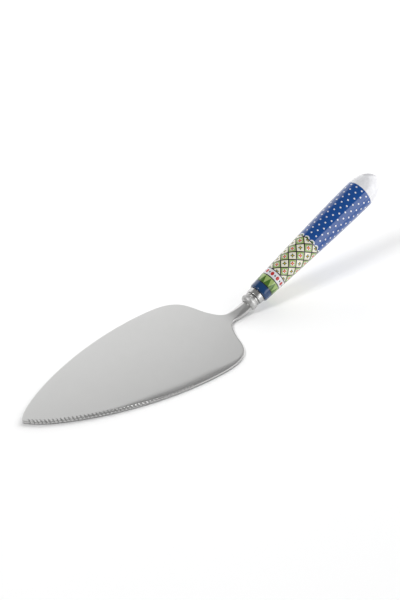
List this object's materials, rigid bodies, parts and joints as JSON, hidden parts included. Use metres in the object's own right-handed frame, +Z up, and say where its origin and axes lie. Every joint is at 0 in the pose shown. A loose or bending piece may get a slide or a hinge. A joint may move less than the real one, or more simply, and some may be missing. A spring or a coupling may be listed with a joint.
{
  "type": "cake server",
  "caption": "Cake server with a flat leaf-shaped steel blade, a fine serrated edge on one side, a cranked neck, a turned bead and collar, and a hollow porcelain handle.",
  "frame": {"origin": "bottom centre of the whole server's box, on the surface that the blade lies on", "axes": "+X from the blade's tip towards the handle's butt, +Z up with the blade lying flat, so that the serrated edge is on the -Y side"},
  "size_m": [0.2586, 0.0704, 0.0587],
  "materials": {
    "satin_steel": "satin stainless steel, finely brushed, with a top face that slopes down to the serrated edge",
    "polished_steel": "turned and polished stainless steel",
    "glazed_porcelain": "white porcelain with a printed blue design under a glossy glaze, bare white at the butt",
    "setting_cement": "matt mineral cement, hidden in the handle"
  },
  "bodies": {
    "root": {"blade": "satin_steel", "bolster": "polished_steel", "ferrule": "polished_steel", "handle": "glazed_porcelain", "cement": "setting_cement"}
  },
  "joints": []
}
